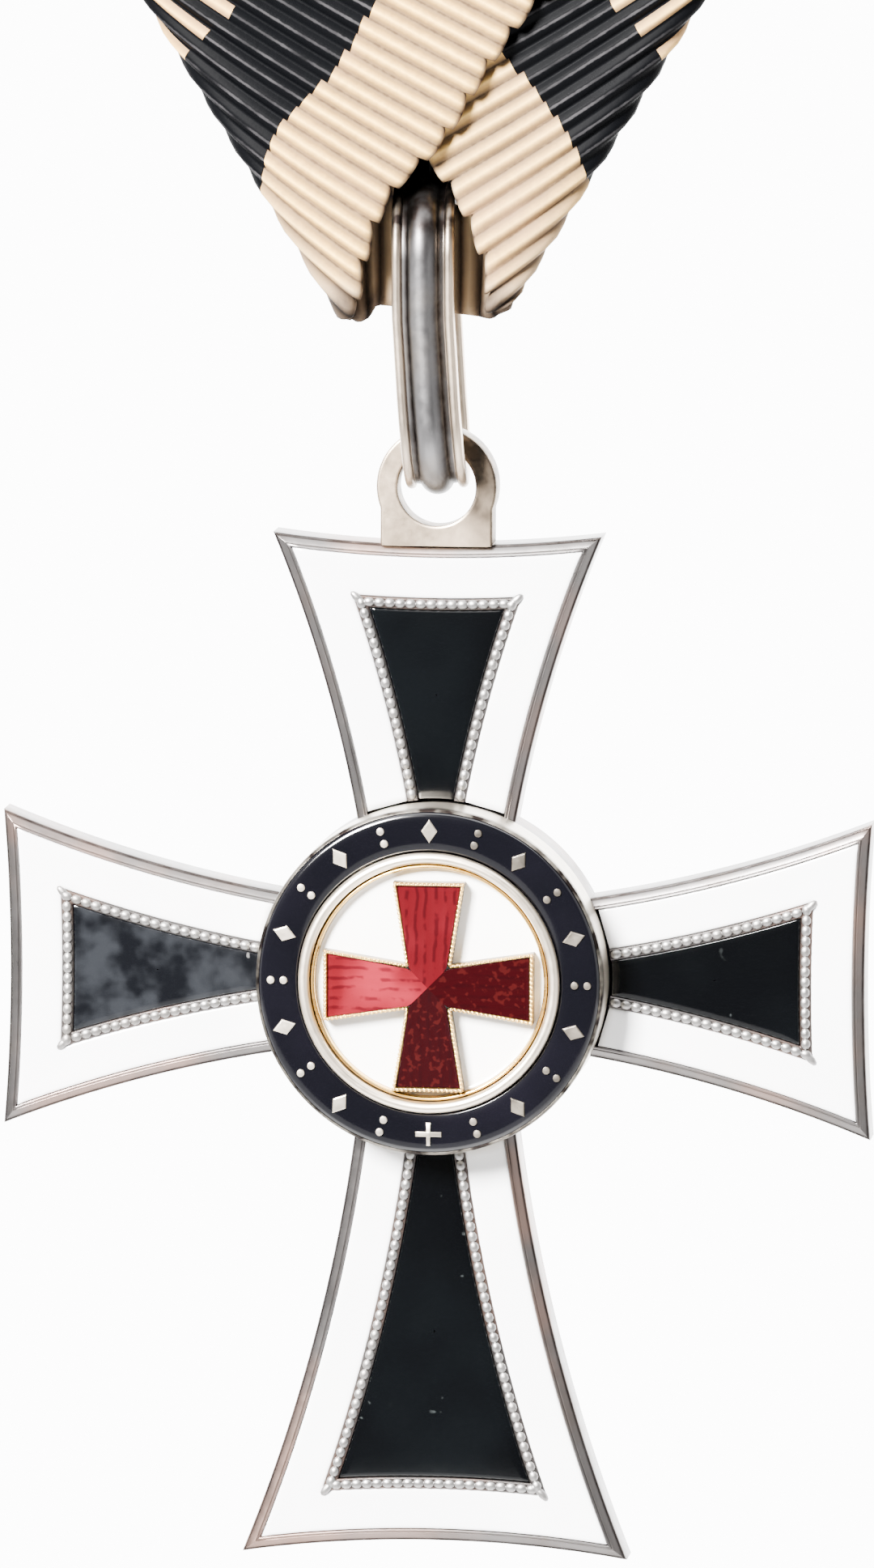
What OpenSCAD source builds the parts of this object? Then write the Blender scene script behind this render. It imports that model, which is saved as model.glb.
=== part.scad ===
// Enamelled order cross on a folded, ribbed ribbon.
// The cross hangs in the XZ plane with its front towards -Y; +Z is up.
// The origin lies between the pin on the ribbon's back and the cloth it grips.

/* [Cross] */
// Reach of the side arms from the centre to their corners
side_reach = 18.4; // [17.5:0.05:19]
// Reach of the upper arm
top_reach = 18.65; // [18.2:0.05:19.2]
// Reach of the lower arm
bottom_reach = 24.85; // [23:0.05:27]
// Width of the ends of the side arms
side_end_w = 13.4; // [12.5:0.1:14.5]
// Width of the end of the upper arm
top_end_w = 13.9; // [13:0.1:15]
// Width of the end of the lower arm
bottom_end_w = 16.4; // [15:0.1:18]
// Width of every arm where it leaves the medallion
neck_w = 7; // [6.6:0.1:7.6]
// Distance of that neck from the centre
neck_reach = 7.3; // [7:0.1:8]
// Thickness of the silver plate
plate_t = 2; // [1.8:0.1:2.4]
// Distance of the plate's middle behind the hole's, which lets the cross hang upright
plate_back = 0.45; // [0.3:0.05:0.6]
// Width of the silver rim round each arm
rim_w = 0.5; // [0.4:0.05:0.7]
// Distance from an arm's edge to the wire round its black field
frame_inset = 2.25; // [2.1:0.05:2.6]
// Width of that wire
wire_w = 0.48; // [0.4:0.02:0.56]
// Height of the wire above the rim
wire_up = 0.1; // [0.05:0.05:0.2]
// Depth of the recesses that hold the enamel
recess = 0.45; // [0.3:0.05:0.6]

/* [Medallion] */
// Radius of the medallion
drum_r = 7.35; // [7.2:0.05:7.45]
// Height of its front face above the plate
drum_h = 2.4; // [2:0.1:3]
// Width of the silver lip outside the black ring
lip_w = 0.16; // [0.1:0.02:0.24]
// Inner radius of the black ring
ring_in_r = 5.65; // [5.5:0.05:5.8]
// Radius of the raised bead inside the black ring
bead_r = 5.3; // [5.25:0.05:5.35]
// Radius of the white field
field_r = 4.86; // [4.8:0.02:4.9]
// Height of the raised marks in the black ring
mark_h = 0.98; // [0.8:0.02:1.1]
// Number of marks round the black ring
mark_count = 20; // [16:2:24]
// Reach of the arms of the small centre cross
badge_reach = 4.42; // [4.2:0.02:4.5]
// Width of its arms at their ends
badge_end_w = 3; // [2.6:0.1:3.2]
// Width of its arms at the centre
badge_neck_w = 1.9; // [1.7:0.1:2.1]
// Height of its edge above the white field
badge_h = 0.75; // [0.6:0.05:0.9]

/* [Suspension] */
// Outer radius of the eyelet
eye_r = 2.54; // [2.4:0.02:2.7]
// Radius of the eyelet's hole
hole_r = 1.65; // [1.6:0.01:1.75]
// Height of the hole's centre above the centre of the cross
eye_up = 20.68; // [20.5:0.02:21]
// Width of the eyelet's square foot
foot_w = 4.74; // [4.6:0.02:5]
// Thickness of the eyelet
eye_t = 1.4; // [1.2:0.1:1.6]
// Outer length of the long ring
link_long = 13.5; // [13:0.1:14]
// Inner radius of its round ends
link_in_r = 2.2; // [2.1:0.05:2.4]
// Width of the ring's band
link_w = 2.6; // [2.4:0.05:2.7]
// Lean of the ring to one side, in degrees
link_lean = 1.9; // [0:0.1:2]
// Turn of the ring about its length, in degrees
link_turn = 3.5; // [0:0.5:6]

/* [Ribbon] */
// Width of the ribbon
ribbon_w = 39; // [38:0.5:40]
// Distance between neighbouring ribs
rib_pitch = 0.84; // [0.8:0.01:0.9]
// Thickness of the ribbon over its ribs
cloth_t = 1.2; // [1.15:0.05:1.25]
// Slope of the folded sides above the horizontal, in degrees
fold_slope = 58.2; // [56:0.1:60]
// Slope of the free selvedges above the horizontal, in degrees
selvedge_slope = 50; // [49:0.5:54]
// Half width of the folded ribbon at its lower edge
tip_half = 3.5; // [3.4:0.05:3.7]
// Height of the strip of ribbon that the ring holds
strip_h = 4.3; // [4.2:0.1:4.6]
// Distance of the pin below the ribbon's top edge
pin_drop = 6; // [5:0.5:8]
// Length of the pin's plate
pin_plate_w = 30; // [26:1:34]

/* [Hidden] */
$fn = 96;

gap = 0.03;

// Depths, front to back, measured from the middle plane of the ribbon's back layer
pin_plate_t = 0.8;
pin_wire_d = 0.9;
pin_grip = 1;
band_y = -(cloth_t / 2 + 0.05 + pin_plate_t + pin_grip);
plate_front = plate_back - plate_t / 2;
drum_front = plate_front - drum_h;

// Heights, from the pin down to the centre of the cross
band_z = pin_drop - ribbon_w;
link_up = 0.2;
link_wall = 1.17;
link_top_z = band_z + strip_h + link_up - link_in_r;
link_leg = link_long - 2 * (link_in_r + link_wall);
hang_gap = 0.04;
link_reach = link_w / 2 * cos(link_turn) + eye_t / 2 * sin(link_turn);
hole_rise = sqrt(hole_r * hole_r - link_reach * link_reach);
link_rise = link_in_r - sqrt(link_in_r * link_in_r - eye_t * eye_t / 4);
hole_drop = link_leg + link_in_r + hole_rise - link_rise - hang_gap;
cross_x = hole_drop * sin(link_lean) * cos(link_turn);
cross_z = link_top_z - hole_drop * cos(link_lean) - eye_up;

// Columns: turn from upright, reach, end width, hollow of the sides, hollow of the end
ARM_TURN = 0;
ARM_REACH = 1;
ARM_END = 2;
ARM_SIDE_SAG = 3;
ARM_END_SAG = 4;
UPPER = [0, top_reach, top_end_w, 0.3, 0.45];
RIGHT = [-90, side_reach, side_end_w, 0.3, 0.28];
LOWER = [180, bottom_reach, bottom_end_w, 0.56, 0.65];
LEFT = [90, side_reach, side_end_w, 0.3, 0.28];
ARMS = [UPPER, RIGHT, LOWER, LEFT];

// Radius of an arc from its chord and its rise
function arc_r(chord, sag) = (chord * chord / 4 + sag * sag) / (2 * sag);

// An extrusion drawn in the XZ plane, from y = front backwards
module face(front, depth) {
    translate([0, front + depth, 0])
        rotate([90, 0, 0])
            linear_extrude(depth)
                children();
}

// Everything on the cross is drawn about the cross's own centre
module at_cross() {
    translate([cross_x, band_y, cross_z])
        children();
}

// One arm, pointing up, with its edges moved inwards by inset
module arm_face(arm, inset) {
    neck = [neck_w / 2, neck_reach];
    tip = [arm[ARM_END] / 2, arm[ARM_REACH]];
    chord = norm(tip - neck);
    way = (tip - neck) / chord;
    side_r = arc_r(chord, arm[ARM_SIDE_SAG]);
    side_c = (neck + tip) / 2 + [way[1], -way[0]] * (side_r - arm[ARM_SIDE_SAG]);
    end_r = arc_r(arm[ARM_END], arm[ARM_END_SAG]);
    end_c = arm[ARM_REACH] - arm[ARM_END_SAG] + end_r;
    rotate([0, 0, arm[ARM_TURN]])
        difference() {
            translate([-arm[ARM_END], 0])
                square([2 * arm[ARM_END], arm[ARM_REACH] + 1]);
            for (side = [-1, 1])
                translate([side * side_c[0], side_c[1]])
                    circle(r = side_r + inset, $fn = 360);
            translate([0, end_c])
                circle(r = end_r + inset, $fn = 360);
        }
}

// The white border of an arm, between its rim and the wire round its black field
module white_face(arm, clear) {
    difference() {
        arm_face(arm, rim_w + clear);
        arm_face(arm, frame_inset - clear);
        circle(r = drum_r + 0.1 + clear);
    }
}

// The black field in the middle of an arm, which runs up to the medallion
module black_face(arm, clear) {
    difference() {
        arm_face(arm, frame_inset + wire_w + clear);
        circle(r = drum_r + 0.1 + clear);
    }
}

module wire_face(arm) {
    difference() {
        arm_face(arm, frame_inset);
        arm_face(arm, frame_inset + wire_w);
        circle(r = drum_r + 0.1);
    }
}

module eyelet() {
    foot_h = eye_up - top_reach + 0.8;
    translate([0, 0, eye_up])
        face(-eye_t / 2, eye_t)
            difference() {
                union() {
                    circle(r = eye_r);
                    translate([-foot_w / 2, -foot_h])
                        square([foot_w, foot_h - 0.35]);
                }
                circle(r = hole_r);
            }
}

// Silver plate with its rims, wires, eyelet and plain back boss, all soldered
module cross_body() {
    boss_r = drum_r - 0.15;
    boss_h = 0.5;
    color("silver")
        at_cross() {
            difference() {
                face(plate_front, plate_t)
                    union() {
                        circle(r = drum_r);
                        for (arm = ARMS)
                            arm_face(arm, 0);
                    }
                for (arm = ARMS) {
                    face(plate_front - 1, recess + 1)
                        white_face(arm, 0);
                    face(plate_front - 1, recess + 1)
                        black_face(arm, 0);
                }
            }
            for (arm = ARMS)
                face(plate_front - wire_up, wire_up + 0.1)
                    wire_face(arm);
            face(plate_front + plate_t - 0.1, boss_h + 0.1)
                circle(r = boss_r);
            eyelet();
        }
}

module white_enamel(arm) {
    color("white")
        at_cross()
            face(plate_front + 0.04, recess - 0.04 - gap)
                white_face(arm, gap);
}

module black_enamel(arm) {
    color([0.1, 0.11, 0.13])
        at_cross()
            face(plate_front + 0.02, recess - 0.02 - gap)
                black_face(arm, gap);
}

module white_enamel_upper() { white_enamel(UPPER); }
module white_enamel_right() { white_enamel(RIGHT); }
module white_enamel_lower() { white_enamel(LOWER); }
module white_enamel_left() { white_enamel(LEFT); }
module black_enamel_upper() { black_enamel(UPPER); }
module black_enamel_right() { black_enamel(RIGHT); }
module black_enamel_lower() { black_enamel(LOWER); }
module black_enamel_left() { black_enamel(LEFT); }

// Marks of the black ring: lozenges and pairs of dots in turn, and one small cross below
mark_r = (ring_in_r + drum_r - lip_w) / 2;
lozenge_w = 0.66;
dot_r = 0.15;
dot_space = 0.27;
mark_step = 360 / mark_count;

module lozenge(grow) {
    half_h = mark_h / 2 + grow;
    half_w = lozenge_w / 2 + grow;
    polygon([[0, -half_h], [half_w, 0], [0, half_h], [-half_w, 0]]);
}

module small_cross(grow) {
    bar = 0.17 + 2 * grow;
    tall = mark_h + 2 * grow;
    wide = mark_h + 0.14 + 2 * grow;
    square([bar, tall], center = true);
    square([wide, bar], center = true);
}

module marks(grow) {
    rotate([0, 0, 180])
        translate([0, mark_r])
            small_cross(grow);
    for (i = [1 : mark_count - 1])
        rotate([0, 0, 180 + i * mark_step])
            translate([0, mark_r])
                if (i % 2 == 0)
                    lozenge(grow);
                else
                    for (side = [-1, 1])
                        translate([0, side * dot_space])
                            circle(r = dot_r + grow, $fn = 24);
}

ring_recess = 0.4;
field_recess = 0.8;

// Round silver mount in the middle of the cross
module medallion() {
    bead_t = 0.32;
    color("silver")
        at_cross() {
            difference() {
                face(drum_front, drum_h - gap)
                    circle(r = drum_r);
                face(drum_front - 1, 1 + ring_recess)
                    difference() {
                        circle(r = drum_r - lip_w);
                        circle(r = ring_in_r);
                    }
                face(drum_front - 1, 1 + field_recess)
                    circle(r = field_r);
            }
            translate([0, drum_front, 0])
                rotate([90, 0, 0])
                    rotate_extrude(angle = 360)
                        translate([bead_r, 0])
                            circle(r = bead_t, $fn = 32);
            face(drum_front - 0.05, ring_recess + 0.1)
                marks(0);
        }
}

module medallion_black_ring() {
    color([0.1, 0.11, 0.13])
        at_cross()
            face(drum_front + 0.05, ring_recess - 0.05 - gap)
                difference() {
                    circle(r = drum_r - lip_w - gap);
                    circle(r = ring_in_r + gap);
                    marks(gap);
                }
}

field_front = drum_front + field_recess - 0.35;

module medallion_white_field() {
    color("white")
        at_cross()
            face(field_front, 0.35 - gap)
                circle(r = field_r - gap);
}

// Small cross with flared arms, drawn with its edges moved inwards by inset
module badge_face(inset) {
    end_half = badge_end_w / 2 - inset;
    neck_half = badge_neck_w / 2 - inset;
    reach = badge_reach - inset;
    for (turn = [0 : 90 : 270])
        rotate([0, 0, turn])
            polygon([[-neck_half, 0], [neck_half, 0], [neck_half, badge_neck_w / 2],
                [end_half, reach], [-end_half, reach], [-neck_half, badge_neck_w / 2]]);
}

badge_front = field_front - gap - badge_h;
badge_edge = 0.17;
badge_pocket = 0.32;
badge_fall = 2.4;

// Gilt body of the centre cross
module centre_cross() {
    color("gold")
        at_cross()
            difference() {
                face(badge_front, badge_h)
                    badge_face(0);
                face(badge_front - 1, 1 + badge_pocket)
                    badge_face(badge_edge);
            }
}

// Red enamel, highest in the middle and falling along each arm
module centre_cross_enamel() {
    big = 2 * badge_reach + 4;
    crown = badge_reach * sin(badge_fall);
    color("firebrick")
        at_cross()
            intersection() {
                face(badge_front - crown, badge_pocket - gap + crown)
                    badge_face(badge_edge + gap);
                crown_slopes(big, crown);
            }
}

module crown_slopes(big, crown) {
    intersection() {
        slope_block(big, crown, 0);
        slope_block(big, crown, 90);
        slope_block(big, crown, 180);
        slope_block(big, crown, 270);
    }
}

module slope_block(big, crown, turn) {
    rotate([0, turn, 0])
        translate([0, badge_front - crown, 0])
            rotate([badge_fall, 0, 0])
                translate([-big / 2, 0, -big / 2])
                    cube([big, big, big]);
}

// Section of the ring's band: a broad round back between two fine beads
module link_section() {
    edge_r = 0.21;
    back_r = 0.72;
    floor_t = 0.7;
    union() {
        translate([link_in_r, -link_w / 2])
            square([floor_t, link_w]);
        for (side = [-1, 1])
            translate([link_in_r + floor_t, side * (link_w / 2 - edge_r)])
                circle(r = edge_r, $fn = 32);
        intersection() {
            translate([link_in_r + link_wall - back_r, 0])
                circle(r = back_r, $fn = 48);
            translate([link_in_r + 0.1, -link_w / 2])
                square([link_wall, link_w]);
        }
    }
}

// Half turn of the band about X, opening downwards
module link_end() {
    rotate([0, -90, 0])
        rotate([0, 0, -90])
            rotate_extrude(angle = 180)
                link_section();
}

module suspension_ring() {
    color("silver")
        translate([0, band_y, link_top_z])
            rotate([0, -link_lean, link_turn]) {
                link_end();
                translate([0, 0, -link_leg])
                    mirror([0, 0, 1])
                        link_end();
                for (side = [0, 1])
                    mirror([0, side, 0])
                        translate([0, 0, -link_leg])
                            linear_extrude(link_leg)
                                rotate([0, 0, 90])
                                    link_section();
            }
}

// Layers of the folded ribbon, by the y of their middle planes
middle_y = -(cloth_t + 0.5);
front_y = middle_y - cloth_t - 0.15;
rib_d = cloth_t;
web_t = 1;
roll_lap = 0.2;
roll_over = 0.03;

// Outer radius of the roll that joins a front layer to the back layer
function roll_r(layer_y) = (cloth_t - layer_y) / 2;

// Half width of the silhouette at a height above the lower edge
function half_at(height) = tip_half + height / tan(fold_slope);

// Half width at the axis of a roll
function axis_at(height, r) = half_at(height) - r / sin(fold_slope);

// Ribs side by side across X, running along Z
module rib_block(across, long) {
    count = ceil(across / rib_pitch / 2);
    translate([0, 0, -long / 2])
        linear_extrude(long)
            union() {
                square([across, web_t], center = true);
                for (i = [-count : count])
                    translate([i * rib_pitch, 0])
                        circle(d = rib_d, $fn = 24);
            }
}

// Free selvedges: upright at the foot, bending inwards, then straight; drawn for the left layer
FOOT_X = 0;
BEND_R = 1;
LEFT_EDGE = [-3.15, 10.7];
RIGHT_EDGE = [-3.8, 8];
scallop = 2 * rib_pitch;
scallop_r = 0.95;
scallop_in = 0.75;

// Point on a selvedge at a length along it, moved inwards by a depth
function bend_len(edge) = edge[BEND_R] * (90 - selvedge_slope) * PI / 180;
function turn_at(edge, along) = min(along / edge[BEND_R] * 180 / PI, 90 - selvedge_slope);
function edge_at(edge, along, depth) =
    let (turn = turn_at(edge, along), rest = max(0, along - bend_len(edge)))
    [edge[FOOT_X] + edge[BEND_R] * (1 - cos(turn)) + rest * sin(turn) - depth * cos(turn),
        edge[BEND_R] * sin(turn) + rest * cos(turn) + depth * sin(turn)];

// Area covered by a front layer, with its scalloped edge
module front_area(edge) {
    far = 3 * ribbon_w;
    steps = 6;
    bend = [for (i = [0 : steps]) edge_at(edge, i * bend_len(edge) / steps, 0)];
    top = edge_at(edge, bend_len(edge) + 2 * ribbon_w, 0);
    scallops = floor((ribbon_w / sin(selvedge_slope) + 2) / scallop);
    union() {
        polygon(concat([[-far, -1], [edge[FOOT_X], -1]], bend, [top, [-far, top[1]]]));
        for (i = [0 : scallops])
            translate(edge_at(edge, (i + 0.5) * scallop, scallop_in))
                circle(r = scallop_r, $fn = 24);
    }
}

// Flat part of a front layer, from the axis of its roll to the free selvedge, clear of the far fold
module front_layer(layer_y, edge, rib_turn, room) {
    r = roll_r(layer_y);
    far = 3 * ribbon_w;
    intersection() {
        face(layer_y - cloth_t, 2 * cloth_t)
            intersection() {
                front_area(edge);
                polygon([[-axis_at(0, r) - roll_lap, 0], [-axis_at(ribbon_w, r) - roll_lap, ribbon_w],
                    [far, ribbon_w], [far, 0]]);
                polygon([[tip_half - room, 0], [half_at(ribbon_w) - room, ribbon_w],
                    [-far, ribbon_w], [-far, 0]]);
            }
        translate([0, layer_y, ribbon_w / 2])
            rotate([0, rib_turn, 0])
                rib_block(2.4 * ribbon_w, 2.4 * ribbon_w);
    }
}

// Roll at the left fold, trimmed in front by the free selvedge
module roll(layer_y, edge) {
    r = roll_r(layer_y);
    long = 3 * ribbon_w;
    tilt = 90 - fold_slope;
    intersection() {
        translate([-axis_at(0, r), layer_y / 2, 0])
            rotate([0, -tilt, 0])
                difference() {
                    translate([0, 0, -long / 2])
                        cylinder(r = r + roll_over, h = long);
                    translate([0, 0, -long / 2])
                        cylinder(r = r - cloth_t - roll_over, h = long);
                    translate([0, -long / 2, -long / 2])
                        cube(long);
                }
        union() {
            face(layer_y / 2, 4 * cloth_t)
                translate([-long, 0])
                    square([2 * long, ribbon_w]);
            face(layer_y - cloth_t, cloth_t - layer_y / 2)
                intersection() {
                    front_area(edge);
                    translate([-long, 0])
                        square([2 * long, ribbon_w]);
                }
        }
    }
}

// Back layer, which the ring passes through
module back_layer() {
    left_r = roll_r(front_y);
    right_r = roll_r(middle_y);
    slit_w = link_w + 0.6;
    slit_h = link_up + link_wall + 0.3;
    difference() {
        intersection() {
            face(-cloth_t, 2 * cloth_t)
                polygon([[-axis_at(0, left_r) - roll_lap, 0], [-axis_at(ribbon_w, left_r) - roll_lap, ribbon_w],
                    [axis_at(ribbon_w, right_r) + roll_lap, ribbon_w], [axis_at(0, right_r) + roll_lap, 0]]);
            translate([0, 0, ribbon_w / 2])
                rib_block(2 * half_at(ribbon_w), ribbon_w + 2);
        }
        face(-2 * cloth_t, 4 * cloth_t)
            translate([-slit_w / 2, strip_h])
                square([slit_w, slit_h]);
    }
}

// Ribbon folded forward along both sides, its left layer over its right one
module ribbon() {
    rib_fall = 63;
    color([0.9, 0.84, 0.72])
        translate([0, band_y, band_z]) {
            back_layer();
            roll(front_y, LEFT_EDGE);
            front_layer(front_y, LEFT_EDGE, -rib_fall, 0.8);
            mirror([1, 0, 0]) {
                roll(middle_y, RIGHT_EDGE);
                front_layer(middle_y, RIGHT_EDGE, -rib_fall, 3.4);
            }
        }
}

// Plain pin on the ribbon's back
module ribbon_pin() {
    plate_h = 4;
    post_x = pin_plate_w / 2 - 1.5;
    wire_y = pin_wire_d / 2;
    color("silver") {
        translate([-pin_plate_w / 2, -pin_grip - pin_plate_t, -plate_h / 2])
            cube([pin_plate_w, pin_plate_t, plate_h]);
        for (side = [-1, 1])
            translate([side * post_x, wire_y + 0.3, 0])
                rotate([90, 0, 0])
                    cylinder(d = 1.6, h = pin_grip + wire_y + 0.5, $fn = 32);
        translate([-post_x, wire_y, 0])
            rotate([0, 90, 0])
                cylinder(d = pin_wire_d, h = 2 * post_x, $fn = 32);
    }
}

ribbon();
ribbon_pin();
suspension_ring();
cross_body();
white_enamel_upper();
white_enamel_right();
white_enamel_lower();
white_enamel_left();
black_enamel_upper();
black_enamel_right();
black_enamel_lower();
black_enamel_left();
medallion();
medallion_black_ring();
medallion_white_field();
centre_cross();
centre_cross_enamel();
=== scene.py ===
"""Looks of the enamelled order cross on its folded ribbon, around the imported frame.

Lengths in the tables are millimetres; the last step of each mesh turns them into metres.
"""

import math

import bmesh
import bpy
import numpy as np
from mathutils import Matrix, Vector


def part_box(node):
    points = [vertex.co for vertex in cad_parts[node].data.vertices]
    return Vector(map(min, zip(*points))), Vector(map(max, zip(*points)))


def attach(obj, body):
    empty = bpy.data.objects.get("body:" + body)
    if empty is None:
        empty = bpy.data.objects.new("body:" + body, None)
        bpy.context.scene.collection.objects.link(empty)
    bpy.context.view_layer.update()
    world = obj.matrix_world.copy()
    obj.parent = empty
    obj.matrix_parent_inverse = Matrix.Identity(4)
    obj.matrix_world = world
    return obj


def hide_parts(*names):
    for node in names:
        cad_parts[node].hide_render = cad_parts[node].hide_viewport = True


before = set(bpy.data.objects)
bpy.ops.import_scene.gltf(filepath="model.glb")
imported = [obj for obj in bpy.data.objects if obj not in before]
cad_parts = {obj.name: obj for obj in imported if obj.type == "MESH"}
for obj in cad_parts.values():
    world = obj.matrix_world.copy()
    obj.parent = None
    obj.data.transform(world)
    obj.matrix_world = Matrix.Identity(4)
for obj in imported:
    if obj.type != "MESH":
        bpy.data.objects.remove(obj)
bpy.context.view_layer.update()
MM = 0.001

# Sizes and places shared with the CAD model
ENAMEL_DROP = 0.02  # from the plate's front back to the enamel's
PLATE_T = 2.0
DRUM_R, DRUM_H = 7.35, 2.4
BAND_Y = -2.45  # depth of the ribbon's back layer, the ring and the eyelet
low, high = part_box("medallion")
CX = (low.x + high.x) / 2 / MM
CZ = (low.z + high.z) / 2 / MM
low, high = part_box("black_enamel_lower")
PLATE_FRONT = low.y / MM - ENAMEL_DROP
DRUM_FRONT = PLATE_FRONT - DRUM_H
low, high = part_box("ribbon")
RIB_TOP = high.z / MM
RIB_LOW = low.z / MM
LATHE_SEG = 192


# ---------------------------------------------------------------- meshes
def make(name, verts, faces, mat, body, attrs, sharp=None):
    """A smooth mesh piece from millimetre points, riding on a body; edges over sharp degrees stay sharp."""
    mesh = bpy.data.meshes.new(name)
    mesh.from_pydata((np.asarray(verts, float) * MM).tolist(), [], [tuple(int(i) for i in f) for f in faces])
    mesh.validate()
    for key, values in attrs.items():
        layer = mesh.attributes.new(key, "FLOAT", "POINT")
        layer.data.foreach_set("value", np.asarray(values, np.float32))
    mesh.update()
    obj = bpy.data.objects.new(name, mesh)
    bpy.context.scene.collection.objects.link(obj)
    mesh.materials.append(mat)
    bm = bmesh.new()
    bm.from_mesh(mesh)
    bmesh.ops.recalc_face_normals(bm, faces=bm.faces)
    if sharp is not None:
        for e in bm.edges:
            if len(e.link_faces) == 2 and e.calc_face_angle(0) > math.radians(sharp):
                e.smooth = False
    bm.to_mesh(mesh)
    bm.free()
    mesh.polygons.foreach_set("use_smooth", [True] * len(mesh.polygons))
    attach(obj, body)
    return obj


class Parts:
    """Collects grids and solids into one mesh; keys name the attributes that its points carry."""

    def __init__(self, keys=()):
        self.v, self.f, self.n = [], [], 0
        self.a = {k: [] for k in keys}

    def add(self, verts, faces, **attrs):
        verts = np.asarray(verts, float).reshape(-1, 3)
        self.v.append(verts)
        self.f += [tuple(i + self.n for i in f) for f in faces]
        for k in self.a:
            self.a[k].append(np.broadcast_to(np.asarray(attrs.get(k, 0.0), float), (len(verts),)))
        self.n += len(verts)

    def make(self, name, mat, body, **kw):
        attrs = {k: np.concatenate(v) for k, v in self.a.items()}
        return make(name, np.concatenate(self.v), self.f, mat, body, attrs, **kw)


def grid(nu, nv, close_u=False, close_v=False):
    """Faces of a grid of nu rows by nv points."""
    out = []
    for i in range(nu if close_u else nu - 1):
        for j in range(nv if close_v else nv - 1):
            a, b = i * nv + j, i * nv + (j + 1) % nv
            c, d = ((i + 1) % nu) * nv + (j + 1) % nv, ((i + 1) % nu) * nv + j
            out.append((a, b, c, d))
    return out


def per_point(values, rows, n):
    """An attribute given once, or once for each row, for every point of rows of n points."""
    return np.repeat(np.broadcast_to(np.asarray(values, float), rows), n)


def lathe(parts, profile, y0=DRUM_FRONT, **attrs):
    """Turns (radius, forward height) about the medallion's axis; attributes go by profile point."""
    ang = np.linspace(0, 2 * math.pi, LATHE_SEG, endpoint=False)
    pts = [[(CX + r * math.cos(a), y0 - h, CZ + r * math.sin(a)) for a in ang] for r, h in profile]
    attrs = {k: per_point(v, len(profile), LATHE_SEG) for k, v in attrs.items()}
    parts.add(np.array(pts), grid(len(profile), LATHE_SEG, close_v=True), **attrs)


def turned(pts, angle):
    """Points of the cross's face turned about its centre."""
    c, s = math.cos(angle), math.sin(angle)
    return pts @ np.array([[c, -s], [s, c]]).T


def to3(p2, height, front=PLATE_FRONT):
    """Points of the cross's face in space; height is forward of the front."""
    p2 = np.asarray(p2, float)
    return np.stack([CX + p2[:, 0], np.full(len(p2), front) - height, CZ + p2[:, 1]], 1)


# ---------------------------------------------------------------- arms
NECK_W, NECK_REACH = 7.0, 7.3
# Turn, reach, width of the end, sag of the sides and sag of the end
ARMS = {
    "upper": (0, 18.65, 13.9, 0.3, 0.45),
    "right": (-90, 18.4, 13.4, 0.3, 0.28),
    "lower": (180, 24.85, 16.4, 0.56, 0.65),
    "left": (90, 18.4, 13.4, 0.3, 0.28),
}
WIRE_IN, WIRE_OUT = 2.25, 2.73  # insets of the wire's two sides
GAP_R = 7.45  # circle at which wires and enamel stop
N_SIDE, N_END, N_ARC = 36, 30, 18


def arc_r(chord, sag):
    """Radius of an arc of a chord and a sag."""
    return (chord * chord / 4 + sag * sag) / (2 * sag)


def circle_cross(c1, r1, c2, r2, near):
    """Where two circles cross, on the side of a point."""
    c1, c2 = np.array(c1, float), np.array(c2, float)
    d = np.linalg.norm(c2 - c1)
    a = (r1 * r1 - r2 * r2 + d * d) / (2 * d)
    h = math.sqrt(max(r1 * r1 - a * a, 0))
    e = (c2 - c1) / d
    n = np.array([-e[1], e[0]])
    pts = [c1 + a * e + h * n, c1 + a * e - h * n]
    return min(pts, key=lambda p: np.linalg.norm(p - np.array(near)))


def arc(centre, r, a0, a1, n):
    return np.array([centre + r * np.array([math.cos(a), math.sin(a)]) for a in np.linspace(a0, a1, n)])


def arm_path(arm, inset, r0):
    """Edge of an arm moved inwards: up its left side, across its end and down its right side."""
    turn, reach, end_w, side_sag, end_sag = ARMS[arm]
    neck, tip = np.array([NECK_W / 2, NECK_REACH]), np.array([end_w / 2, reach])
    chord = np.linalg.norm(tip - neck)
    way = (tip - neck) / chord
    rs = arc_r(chord, side_sag)
    cs = (neck + tip) / 2 + np.array([way[1], -way[0]]) * (rs - side_sag)
    re = arc_r(end_w, end_sag)
    ce = np.array([0, reach - end_sag + re])
    start = circle_cross(cs, rs + inset, (0, 0), r0, (NECK_W / 2 - inset, r0))
    corner = circle_cross(cs, rs + inset, ce, re + inset, tip - [inset, inset])
    a0, a1 = (math.atan2(*(p - cs)[::-1]) % (2 * math.pi) for p in (start, corner))
    b1 = math.atan2(*(corner - ce)[::-1])
    b0 = math.pi - b1 if b1 > 0 else -math.pi - b1
    side, end = arc(cs, rs + inset, a0, a1, N_SIDE), arc(ce, re + inset, b0, b1, N_END)
    return turned(np.vstack([side * [-1, 1], end[1:-1], side[::-1]]), math.radians(turn))


def arm_strip(parts, arm, profile, r0, **attrs):
    """Lofts (inset, height) along an arm's edge, with closed ends.

    It runs from the circle r0 round the arm's end and back to the circle.
    """
    rows = [to3(arm_path(arm, inset, r0), height) for inset, height in profile]
    n = len(rows[0])
    ends = [tuple(k * n for k in range(len(rows))), tuple(k * n + n - 1 for k in range(len(rows)))]
    attrs = {k: per_point(v, len(rows), n) for k, v in attrs.items()}
    parts.add(np.array(rows), grid(len(rows), n) + ends, **attrs)


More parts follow.
